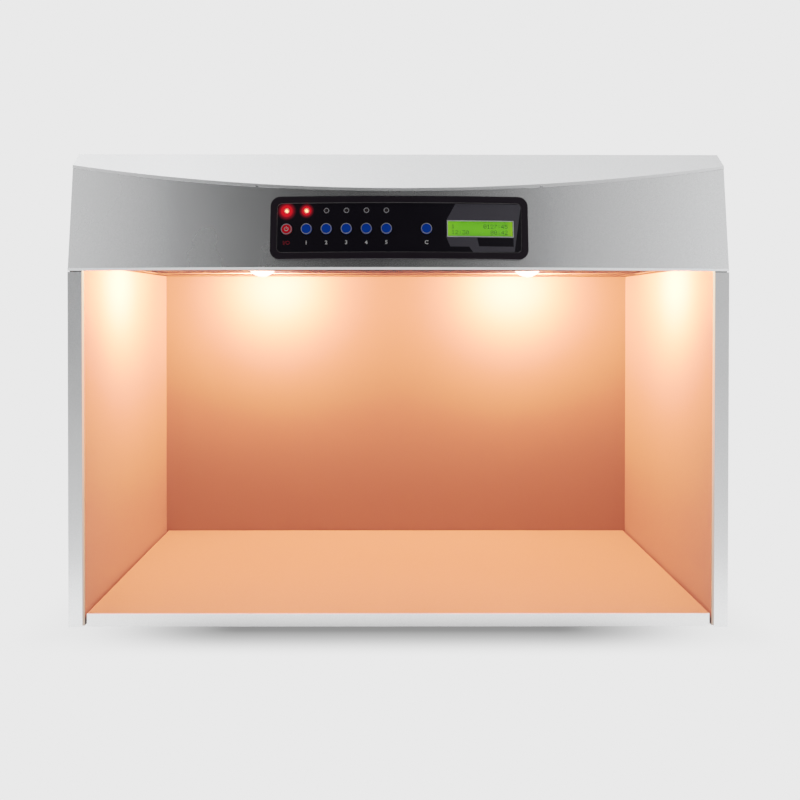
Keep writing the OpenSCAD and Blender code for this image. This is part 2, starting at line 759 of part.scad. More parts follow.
module tact_switches() color([0.15, 0.15, 0.15]) placed() lean_frame() for (s = key_places())
    translate([s, pcb_depth, key_v]) rotate([90, 0, 0]) {
        translate([-3, -3, 0]) cube([6, 6, 3.4]);
        cylinder(r = 1.7, h = pcb_depth - switch_top);
    }

// Domed cap, retaining flange and stem in one turned piece
module key_cap(s) placed() on_face(s, key_v) {
    low = -switch_depth(s) + key_travel + 0.15;
    rotate_extrude() polygon([[0, low], [1.6, low], [1.6, -1.3], [flange_r, -1.3], [flange_r, -0.2],
        [key_r, -0.2], [key_r, key_out - 0.8], [key_r - 0.3, key_out - 0.3], [key_r - 0.9, key_out - 0.05],
        [3, key_out + 0.15], [0, key_out + 0.2]]);
}

module power_key() color([0.85, 0.1, 0.08]) key_cap(key_first_s);
module source_key_1() color([0.15, 0.35, 0.75]) key_cap(key_places()[1]);
module source_key_2() color([0.15, 0.35, 0.75]) key_cap(key_places()[2]);
module source_key_3() color([0.15, 0.35, 0.75]) key_cap(key_places()[3]);
module source_key_4() color([0.15, 0.35, 0.75]) key_cap(key_places()[4]);
module source_key_5() color([0.15, 0.35, 0.75]) key_cap(key_places()[5]);
module clear_key() color([0.15, 0.35, 0.75]) key_cap(clear_s);

module indicator_leds() color([0.8, 0.05, 0.05]) placed() led_places() {
    translate([0, 0, -3.5]) cylinder(r = led_r, h = 5.3);
    translate([0, 0, 1.8]) sphere(r = led_r, $fn = 24);
    translate([0, 0, -3.5]) cylinder(r = 1.75, h = 1);
    for (x = [-0.9, 0.9]) translate([x, 0, -10.2]) cylinder(r = 0.25, h = 7, $fn = 16);
}

module led_rings() color([0.7, 0.7, 0.72]) placed() led_places() difference() {
    translate([0, 0, overlay_out]) cylinder(r = ring_r, h = 0.4);
    translate([0, 0, overlay_out - 1]) cylinder(r = ring_r - 0.65, h = 3);
}

// ---- Mains inlet ----

module at_inlet() translate([inlet_x, body_d, inlet_z]) children();

// Flange, body and shaped socket with its three blades; the drawer's slot is above
module power_inlet() color([0.07, 0.07, 0.07]) placed() at_inlet() {
    difference() {
        union() {
            rotate([-90, 0, 0]) linear_extrude(inlet_flange[1])
                rounded(inlet_flange[0], inlet_flange[2], 4);
            translate([-13.6, -22, -16]) cube([27.2, 23, 35.4]);
        }
        translate([0, inlet_flange[1] - socket_size[1], socket_z]) socket_hollow();
        translate([-drawer_size[0] / 2 - 0.2, -drawer_size[1] + inlet_flange[1] - 0.5,
            drawer_z - drawer_size[2] / 2 - 0.2])
            cube([drawer_size[0] + 0.4, drawer_size[1] + 5, drawer_size[2] + 0.4]);
        for (x = [-inlet_screw_x, inlet_screw_x]) translate([x, -5, 0]) rotate([-90, 0, 0]) {
            cylinder(r = screw_r + 0.2, h = 15);
            translate([0, 0, 5 + inlet_flange[1] - screw_head]) cylinder(r = 3.1, h = 5);
        }
    }
    for (p = [[-7, -2], [7, -2], [0, 2]]) {
        translate([p[0] - 1, -14.2, socket_z + p[1] - 2]) cube([2, 12, 4]);
        translate([p[0] - 2.4, -28, socket_z + p[1] - 0.4]) cube([4.8, 7, 0.8]);
    }
}

// Six-sided mouth of the socket
module socket_hollow() rotate([-90, 0, 0]) linear_extrude(socket_size[1] + 5) {
    w = socket_size[0] / 2;
    h = socket_size[2] / 2;
    cut = 5;
    polygon([[-w, h], [w, h], [w, -h + cut], [w - cut, -h], [-w + cut, -h], [-w, -h + cut]]);
}

// Drawer with a finger rib and troughs for the working and the spare fuse
module fuse_drawer() color([0.1, 0.1, 0.1]) placed() at_inlet()
    translate([0, inlet_flange[1] - drawer_size[1], drawer_z]) {
        difference() {
            translate([-drawer_size[0] / 2, 0, -drawer_size[2] / 2])
                cube([drawer_size[0], drawer_size[1] + drawer_proud, drawer_size[2]]);
            for (y = [3, 11]) translate([-drawer_size[0] / 2 + 2, y, -drawer_size[2] / 2 + 1.5])
                cube([21, 6, 12]);
            translate([-6, drawer_size[1] + 0.2, -4]) cube([12, 2, 2]);
        }
        for (y = [6, 14]) translate([-10.2, y, -0.4]) rotate([0, 90, 0]) cylinder(r = 2.6, h = 20.4);
    }

floor_panel();
base_pan();
left_side_shell();
left_side_liner();
right_side_shell();
right_side_liner();
back_shell();
back_liner();
rubber_feet();
foot_screws();
lamp_tray();
diffusers();
reflector();
front_fascia();
lip_trim();
top_cover();
rear_panel();
left_head_plate();
right_head_plate();
cover_screws();
rating_plate();
daylight_tube_1();
daylight_tube_2();
store_tube_1();
store_tube_2();
office_tube_1();
office_tube_2();
ultraviolet_tube();
tube_caps();
tube_holders();
left_bulb();
right_bulb();
bulb_caps();
bulb_filaments();
bulb_sockets();
socket_bracket();
ballasts();
relay_board();
relays();
power_supply();
terminal_block();
wiring_loom();
ribbon_cable();
panel_bezel();
panel_overlay();
lcd_window();
lcd_module();
control_board();
tact_switches();
indicator_leds();
led_rings();
power_key();
source_key_1();
source_key_2();
source_key_3();
source_key_4();
source_key_5();
clear_key();
power_inlet();
fuse_drawer();
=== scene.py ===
import json
import math

import bmesh
import bpy
from mathutils import Matrix, Vector


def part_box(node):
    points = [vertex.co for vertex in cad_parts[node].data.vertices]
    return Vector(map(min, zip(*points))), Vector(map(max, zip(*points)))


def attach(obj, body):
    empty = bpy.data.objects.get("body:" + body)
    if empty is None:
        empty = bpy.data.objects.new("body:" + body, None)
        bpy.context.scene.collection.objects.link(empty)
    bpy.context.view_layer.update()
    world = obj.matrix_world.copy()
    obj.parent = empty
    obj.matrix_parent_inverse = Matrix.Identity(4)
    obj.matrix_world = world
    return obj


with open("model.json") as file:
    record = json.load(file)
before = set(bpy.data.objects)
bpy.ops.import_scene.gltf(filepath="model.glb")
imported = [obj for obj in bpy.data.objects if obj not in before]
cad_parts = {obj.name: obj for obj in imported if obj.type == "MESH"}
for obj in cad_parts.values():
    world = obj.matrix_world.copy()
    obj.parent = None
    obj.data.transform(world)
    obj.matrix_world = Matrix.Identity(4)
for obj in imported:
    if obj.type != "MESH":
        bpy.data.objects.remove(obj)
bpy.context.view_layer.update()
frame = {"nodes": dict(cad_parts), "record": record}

MM = 0.001

# The fascia is a piece of a cylinder that leans back
HALF_W = 355 * MM
BOW = 35.5 * MM
LEAN = math.radians(8.66)
FACE_R = (HALF_W * HALF_W + BOW * BOW) / (2 * BOW)
TRIM_H = 2.7 * MM

# Heights up the fascia of the control panel's rows, and how far its overlay stands out
PANEL_V = 44.6 * MM
KEY_V = 43.2 * MM
LED_V = 62.6 * MM
OVERLAY_OUT = 1.8 * MM
KEY_DEPTH = 2.5 * MM

KEYS = ["power_key"] + ["source_key_%d" % i for i in range(1, 6)] + ["clear_key"]
LIT_KEYS = KEYS[:2]

FLOOR_ABOVE_BASE = 0.6 * MM
floor_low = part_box("floor_panel")[0]
FRONT_Y = floor_low[1]
BASE_Z = floor_low[2] - FLOOR_ABOVE_BASE
LIP_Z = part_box("lip_trim")[0][2]
FACE_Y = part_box("front_fascia")[0][1] - TRIM_H * math.tan(LEAN)


def face_frame(s, v, out=0.0):
    """Frame on the fascia: x along it, y up it, z straight out of it."""
    turn = s / FACE_R
    lean = Matrix.Translation((0, FACE_Y, LIP_Z)) @ Matrix.Rotation(-LEAN, 4, "X")
    swing = Matrix.Translation((0, FACE_R, 0)) @ Matrix.Rotation(turn, 4, "Z")
    upright = Matrix.Translation((0, -FACE_R, v)) @ Matrix.Rotation(math.pi / 2, 4, "X")
    return lean @ swing @ upright @ Matrix.Translation((0, 0, out))


def face_point(s, v, out=0.0):
    return face_frame(s, v, out) @ Vector((0, 0, 0))


def key_place(node):
    """Where a key's middle lies: s along the fascia and v up it."""
    low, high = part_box(node)
    return math.asin((low[0] + high[0]) / 2 / (FACE_R - KEY_DEPTH)) * FACE_R, KEY_V


# ---- Camera ----

# Where it stands: in front of the cabinet, above the panels' lower edges, left of the middle
CAMERA_BACK = 977.7 * MM
CAMERA_UP = 344.9 * MM
CAMERA_X = -10.6 * MM
# Lens and sensor width in the camera's own millimetres
CAMERA_LENS = 40.99
CAMERA_SENSOR = 36
CAMERA_SHIFT = (0.0086, -0.1053)
# How far it looks down, rolls and turns, in radians
CAMERA_DOWN = 0.010
CAMERA_ROLL = -0.0008
CAMERA_TURN = -0.0045


def make_camera():
    data = bpy.data.cameras.new("camera")
    camera = bpy.data.objects.new("camera", data)
    bpy.context.collection.objects.link(camera)
    data.sensor_width = CAMERA_SENSOR
    data.lens = CAMERA_LENS
    data.shift_x, data.shift_y = CAMERA_SHIFT
    data.clip_start = 20 * MM
    camera.location = (CAMERA_X, FRONT_Y - CAMERA_BACK, BASE_Z + CAMERA_UP)
    camera.rotation_euler = (math.pi / 2 - CAMERA_DOWN, CAMERA_ROLL, CAMERA_TURN)
    bpy.context.scene.camera = camera


# ---- Nodes ----

class Network:
    """Short ways to add nodes to a material or to the world."""

    def __init__(self, tree):
        self.tree = tree

    def node(self, kind, **settings):
        made = self.tree.nodes.new("ShaderNode" + kind)
        for name, value in settings.items():
            setattr(made, name, value)
        return made

    def feed(self, value, socket):
        if isinstance(value, (int, float)):
            socket.default_value = value
        else:
            self.tree.links.new(value, socket)

    def math(self, operation, a, b=0.0, c=0.0):
        made = self.node("Math", operation=operation)
        for value, socket in zip((a, b, c), made.inputs):
            self.feed(value, socket)
        return made.outputs["Value"]

    def scaled(self, value, to_low, to_high, low=0.0, high=1.0, **settings):
        """A value's place between low and high, carried over to between to_low and to_high."""
        made = self.node("MapRange", **settings)
        limits = {"From Min": low, "From Max": high, "To Min": to_low, "To Max": to_high}
        for socket, number in limits.items():
            made.inputs[socket].default_value = number
        self.feed(value, made.inputs["Value"])
        return made.outputs["Result"]

    def smooth(self, value, low, high, to_low, to_high):
        return self.scaled(value, to_low, to_high, low, high, interpolation_type="SMOOTHSTEP")

    def mix(self, factor, a, b):
        made = self.node("Mix", data_type="FLOAT")
        for value, socket in ((factor, "Factor"), (a, "A"), (b, "B")):
            self.feed(value, made.inputs[socket])
        return made.outputs["Result"]

    def axes(self, output):
        made = self.node("SeparateXYZ")
        self.feed(output, made.inputs["Vector"])
        return made.outputs

    def ramp(self, value, stops):
        """Colors along a value, as (place, color) stops."""
        made = self.node("ValToRGB")
        elements = made.color_ramp.elements
        while len(elements) < len(stops):
            elements.new(0.5)
        for element, (place, color) in zip(elements, stops):
            element.position = place
            element.color = (*color, 1)
        self.feed(value, made.inputs["Fac"])
        return made.outputs["Color"]


class Shader(Network):
    """A node material with its Principled shader and short ways to give it texture."""

    def __init__(self, name, color, roughness, metallic=0.0, **more):
        self.material = bpy.data.materials.new(name)
        self.material.use_nodes = True
        self.material.diffuse_color = (*color, 1)
        super().__init__(self.material.node_tree)
        self.out = self.tree.nodes["Principled BSDF"]
        self.out.inputs["Base Color"].default_value = (*color, 1)
        self.out.inputs["Roughness"].default_value = roughness
        self.out.inputs["Metallic"].default_value = metallic
        for socket, value in more.items():
            self.out.inputs[socket.replace("_", " ")].default_value = value
        self.coords = self.tree.nodes.new("ShaderNodeTexCoord").outputs["Object"]

    def noise(self, scale, detail=3.0, roughness=0.55, stretch=None):
        made = self.node("TexNoise")
        made.inputs["Scale"].default_value = scale
        made.inputs["Detail"].default_value = detail
        made.inputs["Roughness"].default_value = roughness
        if stretch:
            mapping = self.node("Mapping")
            mapping.inputs["Scale"].default_value = stretch
            self.feed(self.coords, mapping.inputs["Vector"])
            self.feed(mapping.outputs["Vector"], made.inputs["Vector"])
        else:
            self.feed(self.coords, made.inputs["Vector"])
        return made.outputs["Fac"]

    def bump(self, height, distance, strength=1.0):
        made = self.node("Bump")
        made.inputs["Distance"].default_value = distance
        made.inputs["Strength"].default_value = strength
        self.feed(height, made.inputs["Height"])
        self.feed(made.outputs["Normal"], self.out.inputs["Normal"])

    def speckled(self, value, color, spread, low=0.3, high=0.7):
        """The color, a little darker where the value is low and a little lighter where it is high."""
        dark = tuple(c * (1 - spread) for c in color)
        light = tuple(min(1.0, c * (1 + spread)) for c in color)
        return self.ramp(value, [(low, dark), (high, light)])

    def mix_colors(self, factor, a, b):
        made = self.node("Mix", data_type="RGBA")
        for output, socket in ((factor, "Factor"), (a, "A"), (b, "B")):
            self.feed(output, made.inputs[socket])
        return made.outputs["Result"]

    def color(self, output):
        self.feed(output, self.out.inputs["Base Color"])

    def rough(self, output):
        self.feed(output, self.out.inputs["Roughness"])


# Between which values of its noise powder paint goes from dark to light
PAINT_SPECKLE = (0.32, 0.68)


def paint(name, color, roughness, metallic, grain=750.0, depth=0.00006, spread=0.05, **more):
    """Powder paint: a fine orange-peel texture, speckle and faint handling marks."""
    shader = Shader(name, color, roughness, metallic, **more)
    fine = shader.noise(grain, 2.0)
    shader.color(shader.speckled(fine, color, spread, *PAINT_SPECKLE))
    broad = shader.noise(9.0, 4.0)
    shader.rough(shader.scaled(broad, roughness - 0.06, roughness + 0.06))
    shader.bump(fine, depth, 0.5)
    return shader


def sheet_steel(name, color, roughness=0.38):
    """Zinc-plated or brushed sheet: streaks along X."""
    shader = Shader(name, color, roughness, 1.0)
    streaks = shader.noise(60.0, 6.0, 0.7, stretch=(0.6, 30, 30))
    shader.color(shader.speckled(streaks, color, 0.12))
    shader.rough(shader.scaled(streaks, roughness - 0.1, roughness + 0.12))
    shader.bump(streaks, 0.00003, 0.3)
    return shader


def moulded(name, color, roughness, grain=1400.0, depth=0.00003, spread=0.06, **more):
    """Moulded plastic or rubber with a fine spark-eroded texture."""
    shader = Shader(name, color, roughness, 0.0, **more)
    fine = shader.noise(grain, 2.0)
    shader.color(shader.speckled(fine, color, spread))
    broad = shader.noise(35.0, 3.0)
    shader.rough(shader.scaled(broad, max(0.03, roughness - 0.05), roughness + 0.06))
    shader.bump(fine, depth, 0.4)
    return shader


def floor_paint(outside, inside):
    """Neutral viewing paint on top, lighter than the back liner as painted light, silver paint on the
    folded front strip.
    """
    shader = Shader("floor_paint", inside, FLOOR_ROUGHNESS)
    place = shader.axes(shader.node("NewGeometry").outputs["Position"])
    front = shader.math("LESS_THAN", place["Y"], FRONT_Y + STRIP_DEPTH)
    fine = shader.noise(750.0, 2.0)
    paint_in = shader.speckled(fine, inside, 0.04, *PAINT_SPECKLE)
    paint_out = shader.speckled(fine, outside, 0.04, *PAINT_SPECKLE)
    shader.color(shader.mix_colors(front, paint_in, paint_out))
    shader.feed(shader.scaled(front, 0.0, STRIP_METALLIC), shader.out.inputs["Metallic"])
    shader.rough(shader.scaled(front, FLOOR_ROUGHNESS, STRIP_ROUGHNESS))
    shader.bump(fine, 0.00005, 0.4)
    return shader


def liner_painted_glow():
    """Viewing paint, lighter than the back liner as painted light, whose folded front edge has a painted
    highlight that glows brightest near the top.
    """
    shader = paint("liner_painted_glow", NEUTRAL_PAINTED_LIGHTER, 0.6, 0.0, grain=900.0, spread=0.03)
    geometry = shader.node("NewGeometry")
    facing = shader.axes(geometry.outputs["Normal"])
    forward = shader.smooth(facing["Y"], *PAINTED_LIGHT_FACING, 0.0, PAINTED_LIGHT_STRENGTH)
    low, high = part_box("left_side_liner")
    height = shader.scaled(shader.axes(geometry.outputs["Position"])["Z"], 0.0, 1.0, low[2], high[2])
    shader.feed(shader.ramp(height, PAINTED_EDGE_LIGHT), shader.out.inputs["Emission Color"])
    shader.feed(forward, shader.out.inputs["Emission Strength"])
    return shader


def lamp(name, color, strength):
    shader = Shader(name, color, 0.4)
    shader.out.inputs["Emission Color"].default_value = (*color, 1)
    shader.out.inputs["Emission Strength"].default_value = strength
    return shader


def display_light():
    """Backlit display: yellow-green, brighter at both ends where its lamps sit."""
    shader = Shader("display_light", (0.10, 0.30, 0.01), 0.35)
    low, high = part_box("lcd_module")
    place = shader.scaled(shader.axes(shader.coords)["X"], 0.0, 1.0, low[0], high[0])
    glow = shader.ramp(place, DISPLAY_GLOW)
    shader.feed(glow, shader.out.inputs["Emission Color"])
    shader.out.inputs["Emission Strength"].default_value = DISPLAY_STRENGTH
    return shader


def led_center(key):
    return face_point(key_place(key)[0], LED_V, OVERLAY_OUT)


def distance_glow(shader, center, stops, reach):
    """Color by distance from a point: the stops' places are shares of the reach."""
    geometry = shader.node("NewGeometry")
    away = shader.node("VectorMath", operation="DISTANCE")
    shader.feed(geometry.outputs["Position"], away.inputs[0])
    away.inputs[1].default_value = center
    return shader.ramp(shader.scaled(away.outputs["Value"], 0.0, 1.0, 0.0, reach), stops)


def glow_sum(shader, glows, strength):
    """Let the surface give off the sum of the glows."""
    total = glows[0]
    for extra in glows[1:]:
        both = shader.node("VectorMath", operation="ADD")
        shader.feed(total, both.inputs[0])
        shader.feed(extra, both.inputs[1])
        total = both.outputs["Vector"]
    shader.feed(total, shader.out.inputs["Emission Color"])
    shader.out.inputs["Emission Strength"].default_value = strength


def indicator():
    """Indicator lamps: the two at the left are lit, the others are dark lenses."""
    shader = Shader("indicator", (0.008, 0.003, 0.005), 0.3, Specular_IOR_Level=0.08)
    glows = [distance_glow(shader, led_center(key), LENS_GLOW, LENS_REACH) for key in LIT_KEYS]
    glow_sum(shader, glows, LENS_STRENGTH)
    return shader


def overlay_film():
    """Printed black film with a painted red glow round the lit indicator lamps."""
    shader = moulded("overlay_black", (0.006, 0.005, 0.008), 0.22, grain=1800.0, Specular_IOR_Level=0.14)
    glows = [distance_glow(shader, led_center(key), HALO_GLOW, reach)
             for key, reach in zip(LIT_KEYS, HALO_REACH)]
    glow_sum(shader, glows, 1.0)
    return shader


def clear_plastic():
    shader = Shader("clear_plastic", (0.92, 0.97, 0.9), 0.04)
    shader.out.inputs["Transmission Weight"].default_value = 1.0
    shader.out.inputs["IOR"].default_value = 1.12
    return shader


def tube_glass(name, color, roughness=0.2):
    shader = Shader(name, color, roughness)
    shader.out.inputs["Coat Weight"].default_value = 0.8
    shader.out.inputs["Coat Roughness"].default_value = 0.05
    cloudy = shader.noise(14.0, 4.0)
    shader.color(shader.speckled(cloudy, color, 0.05))
    return shader


SILVER = (0.60, 0.605, 0.61)
STRIP_SILVER = (0.86, 0.86, 0.86)
NEUTRAL = (0.192, 0.188, 0.18)
# Side liners and floor: lighter copies of the same viewing grey, painted light
NEUTRAL_PAINTED_LIGHTER = (0.32, 0.318, 0.305)
FLOOR_PAINTED_LIGHTER = (0.38, 0.378, 0.365)
LAMP_COLOR = (1.0, 0.222, 0.111)

# Floor paint, and the silver of its folded front strip
FLOOR_ROUGHNESS = 0.62
STRIP_DEPTH = 0.9 * MM
STRIP_METALLIC = 0.6
STRIP_ROUGHNESS = 0.4

# Liner edges: painted highlight, glowing from the lower end to the upper end, where the surface faces
# forward
PAINTED_EDGE_LIGHT = [(0.0, (0.25, 0.16, 0.12)), (0.35, (0.45, 0.24, 0.15)), (0.7, (0.9, 0.42, 0.24)),
             (1.0, (1.0, 0.75, 0.5))]
PAINTED_LIGHT_FACING = (-0.3, -0.9)
PAINTED_LIGHT_STRENGTH = 2.0

# Display: glow from its left end to its right end
DISPLAY_GLOW = [(0.0, (0.75, 1.0, 0.04)), (0.1, (0.26, 0.56, 0.02)), (0.25, (0.17, 0.44, 0.015)),
                (0.5, (0.17, 0.44, 0.012)), (0.86, (0.17, 0.44, 0.012)), (0.93, (0.4, 0.7, 0.02)),
                (1.0, (1.0, 1.0, 0.04))]
DISPLAY_STRENGTH = 0.37

# Lit indicator lamps, and the painted red halos round them on the overlay, from the middle outwards
LENS_GLOW = [(0.0, (1.0, 0.95, 0.45)), (0.45, (1.0, 0.62, 0.18)), (0.8, (1.0, 0.03, 0.02)),
             (1.0, (0, 0, 0))]
LENS_REACH = 2.6 * MM
LENS_STRENGTH = 6.0
HALO_GLOW = [(0.0, (1.0, 0.01, 0.012)), (0.5, (0.9, 0.006, 0.012)), (0.64, (0.25, 0.004, 0.01)),
             (0.85, (0.06, 0.002, 0.005)), (1.0, (0, 0, 0))]
HALO_REACH = (10.2 * MM, 8.0 * MM)

slots = {
    "cabinet_paint": paint("cabinet_paint", SILVER, 0.35, 0.92),
    "fascia_paint": paint("fascia_paint", (0.52, 0.525, 0.53), 0.26, 1.0),
    "liner_paint": paint("liner_paint", NEUTRAL, 0.7, 0.0, grain=900.0, spread=0.03),
    "plain_steel": sheet_steel("plain_steel", (0.6, 0.61, 0.62)),
    "screw_steel": sheet_steel("screw_steel", (0.66, 0.67, 0.68), 0.28),
    "foot_rubber": moulded("foot_rubber", (0.02, 0.02, 0.02), 0.75, grain=700.0, depth=0.0001),
    "white_enamel": paint("white_enamel", (0.80, 0.80, 0.78), 0.3, 0.0, grain=300.0, spread=0.015),
    # Opal diffusers kept dark grey: painted shade for the dim lamp slot round them
    "opal_acrylic": moulded("opal_acrylic", (0.24, 0.235, 0.23), 0.9, grain=200.0, spread=0.01,
                            Specular_IOR_Level=0.02),
    "trim_strip": paint("trim_strip", (0.80, 0.81, 0.82), 0.6, 0.9, spread=0.02),
    "plate_metal": sheet_steel("plate_metal", (0.78, 0.79, 0.8), 0.3),
    "tube_phosphor": tube_glass("tube_phosphor", (0.88, 0.88, 0.86)),
    "violet_glass": tube_glass("violet_glass", (0.05, 0.025, 0.14), 0.08),
    "cap_metal": sheet_steel("cap_metal", (0.75, 0.76, 0.77), 0.25),
    "white_plastic": moulded("white_plastic", (0.8, 0.8, 0.78), 0.45),
    "bulb_glass": lamp("bulb_glass", (1.0, 0.95, 0.88), 4.6),
    "cap_brass": sheet_steel("cap_brass", (0.76, 0.6, 0.3), 0.25),
    "filament_wire": sheet_steel("filament_wire", (0.7, 0.66, 0.6), 0.4),
    "socket_ceramic": moulded("socket_ceramic", (0.82, 0.79, 0.72), 0.2, spread=0.02),
    "ballast_case": sheet_steel("ballast_case", (0.78, 0.79, 0.8), 0.33),
    "board_green": moulded("board_green", (0.015, 0.17, 0.06), 0.3, grain=2000.0),
    "relay_blue": moulded("relay_blue", (0.03, 0.12, 0.42), 0.25),
    "supply_black": moulded("supply_black", (0.025, 0.025, 0.03), 0.5),
    "wire_red": moulded("wire_red", (0.45, 0.03, 0.02), 0.4),
    "ribbon_grey": moulded("ribbon_grey", (0.4, 0.4, 0.42), 0.5),
    "bezel_black": moulded("bezel_black", (0.010, 0.007, 0.011), 0.38, depth=0.00005,
                           Specular_IOR_Level=0.14),
    "overlay_black": overlay_film(),
    "clear_window": clear_plastic(),
    "display_green": display_light(),
    "led_red": indicator(),
    "ring_grey": moulded("ring_grey", (0.62, 0.62, 0.66), 0.35),
    "key_red": moulded("key_red", (0.95, 0.012, 0.03), 0.3, Specular_IOR_Level=0.1),
    "key_blue": moulded("key_blue", (0.004, 0.085, 0.62), 0.3, Specular_IOR_Level=0.1),
    "inlet_black": moulded("inlet_black", (0.018, 0.018, 0.02), 0.42),
}
slot_of = {part["node"]: part["material_slot"] for part in frame["record"]["subparts"]}
# Nodes that look different from the rest of their slot; the floor and side liners carry painted light
own_materials = {
    "floor_panel": floor_paint(STRIP_SILVER, FLOOR_PAINTED_LIGHTER),
    "lamp_tray": paint("tray_paint", NEUTRAL, 0.9, 0.0, Specular_IOR_Level=0.02),
    "left_side_liner": liner_painted_glow(),
}
own_materials["right_side_liner"] = own_materials["left_side_liner"]

for name, node in frame["nodes"].items():
    shader = own_materials.get(name, slots[slot_of[name]])
    node.data.materials.clear()
    node.data.materials.append(shader.material)

# Folded and pressed edges are never razor sharp: widths in millimetres
EDGE_WIDTHS = {
    "left_side_shell": 0.5, "right_side_shell": 0.5, "front_fascia": 0.35, "top_cover": 0.3,
    "floor_panel": 0.35, "back_shell": 0.4, "panel_bezel": 0.8, "lip_trim": 0.35,
    "rear_panel": 0.2, "power_inlet": 0.25, "fuse_drawer": 0.3, "panel_overlay": 0.12,
    "rubber_feet": 0.4, "ballasts": 0.4, "relays": 0.4, "power_supply": 0.6, "terminal_block": 0.4,
}
EDGE_ANGLE = math.radians(40)
for name, width in EDGE_WIDTHS.items():
    bevel = frame["nodes"][name].modifiers.new("edges", "BEVEL")
    bevel.width = width * MM
    bevel.segments = 2
    bevel.limit_method = "ANGLE"
    bevel.angle_limit = EDGE_ANGLE
    bevel.harden_normals = True


# ---- Marks and details on the control panel ----

# Longest piece of an outline that stays straight, and how close points are that become one
BEND_STEP = 4 * MM
WELD = 0.0001 * MM
RING_STEPS = 48


def new_object(name, mesh, shader, body):
    made = bpy.data.objects.new(name, mesh)
    bpy.context.collection.objects.link(made)
    made.data.materials.append(shader.material)
    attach(made, body)


def to_mesh(name, bm):
    mesh = bpy.data.meshes.new(name)
    bm.normal_update()
    bm.to_mesh(mesh)
    bm.free()
    return mesh


def extruded(bm):
    """Extrude every face and return the new vertices, which are still in place."""
    top = bmesh.ops.extrude_face_region(bm, geom=bm.faces[:])
    return {item for item in top["geom"] if isinstance(item, bmesh.types.BMVert)}


def wrap_on_face(bm, s, v, low, high):
    """Give a flat outline its thickness and bend it round the fascia."""
    left = min(vert.co.x for vert in bm.verts)
    right = max(vert.co.x for vert in bm.verts)
    for i in range(1, int((right - left) / BEND_STEP) + 1):
        bmesh.ops.bisect_plane(bm, geom=bm.verts[:] + bm.edges[:] + bm.faces[:],
                               plane_co=(left + i * BEND_STEP, 0, 0), plane_no=(1, 0, 0))
    raised = extruded(bm)
    for vert in bm.verts:
        out = high if vert in raised else low
        vert.co = face_point(s + vert.co.x, v + vert.co.y, out)
    bmesh.ops.recalc_face_normals(bm, faces=bm.faces[:])


def outline_on_face(name, points, s, v, low, high, shader, slot, body="root"):
    bm = bmesh.new()
    bm.faces.new([bm.verts.new((x, y, 0)) for x, y in points])
    bmesh.ops.triangulate(bm, faces=bm.faces[:])
    wrap_on_face(bm, s, v, low, high)
    new_object(name, to_mesh(name, bm), shader, body)


def arc(radius, start, end):
    angles = [math.radians(start + (end - start) * i / RING_STEPS) for i in range(RING_STEPS + 1)]
    return [(radius * math.cos(angle), radius * math.sin(angle)) for angle in angles]


def annulus(name, inner, outer, s, v, low, high, shader, slot, body, start=0, end=360):
    """Flat ring, or a part of one from start to end in degrees."""
    bm = bmesh.new()
    a, b = [[bm.verts.new((x, y, 0)) for x, y in arc(radius, start, end)] for radius in (inner, outer)]
    for i in range(RING_STEPS):
        bm.faces.new((a[i], b[i], b[i + 1], a[i + 1]))
    bmesh.ops.remove_doubles(bm, verts=bm.verts[:], dist=WELD)
    wrap_on_face(bm, s, v, low, high)
    new_object(name, to_mesh(name, bm), shader, body)


def letters(name, text, s, v, low, high, shader):
    """Flat lettering from the built-in font, bent onto the overlay."""
    curve = bpy.data.curves.new(name, "FONT")
    curve.body = text
    curve.size = LABEL_H / FONT_CAPITAL
    curve.align_x = "CENTER"
    curve.resolution_u = 4
    curve.offset = LABEL_SWELL
    carrier = bpy.data.objects.new(name, curve)
    bpy.context.collection.objects.link(carrier)
    bpy.context.view_layer.update()
    flat = bpy.data.meshes.new_from_object(carrier.evaluated_get(bpy.context.evaluated_depsgraph_get()))
    bpy.data.objects.remove(carrier)
    bm = bmesh.new()
    bm.from_mesh(flat)
    bmesh.ops.remove_doubles(bm, verts=bm.verts[:], dist=WELD)
    bmesh.ops.translate(bm, verts=bm.verts[:], vec=(0, -LABEL_H / 2, 0))
    wrap_on_face(bm, s, v, low, high)
    new_object(name, to_mesh(name, bm), shader, "root")


white_ink = moulded("white_ink", (0.82, 0.82, 0.82), 0.4)
red_ink = moulded("red_ink", (0.25, 0.008, 0.02), 0.4, Specular_IOR_Level=0.1)
slate_ink = moulded("slate_ink", (0.062, 0.058, 0.074), 0.3)
ring_ink = moulded("ring_ink", (0.52, 0.54, 0.62), 0.35)
bead_gloss = moulded("bead_gloss", (0.02, 0.016, 0.02), 0.12)
window_ink = moulded("window_ink", (0.85, 0.88, 0.88), 0.4)
segment_ink = moulded("segment_ink", (0.012, 0.035, 0.004), 0.5)

# Printed marks are sunk a little way in and stand out by the thickness of the ink
INK = 0.06 * MM
SUNK = 0.1 * MM
OVERLAY_TOP = OVERLAY_OUT + INK
KEY_TOP = 3.38 * MM

# Rings round the keys, and the mark on the power key
RING_R = (4.95 * MM, 5.58 * MM)
RING_DEPTH = 0.45 * MM
MARK_R = (1.75 * MM, 2.3 * MM)
MARK_ARC = (125, 415)
MARK_BAR_HALF = 0.28 * MM
MARK_BAR = (0.3 * MM, 3.0 * MM)

LABELS = ("I/O", "1", "2", "3", "4", "5", "C")
LABEL_H = 3.9 * MM
LABEL_DROP = 14.4 * MM
LABEL_SWELL = 0.12 * MM
# Height of a capital letter as a share of the built-in font's size
FONT_CAPITAL = 0.69


def slab(x0, y0, x1, y1):
    return [(x0, y0), (x1, y0), (x1, y1), (x0, y1)]


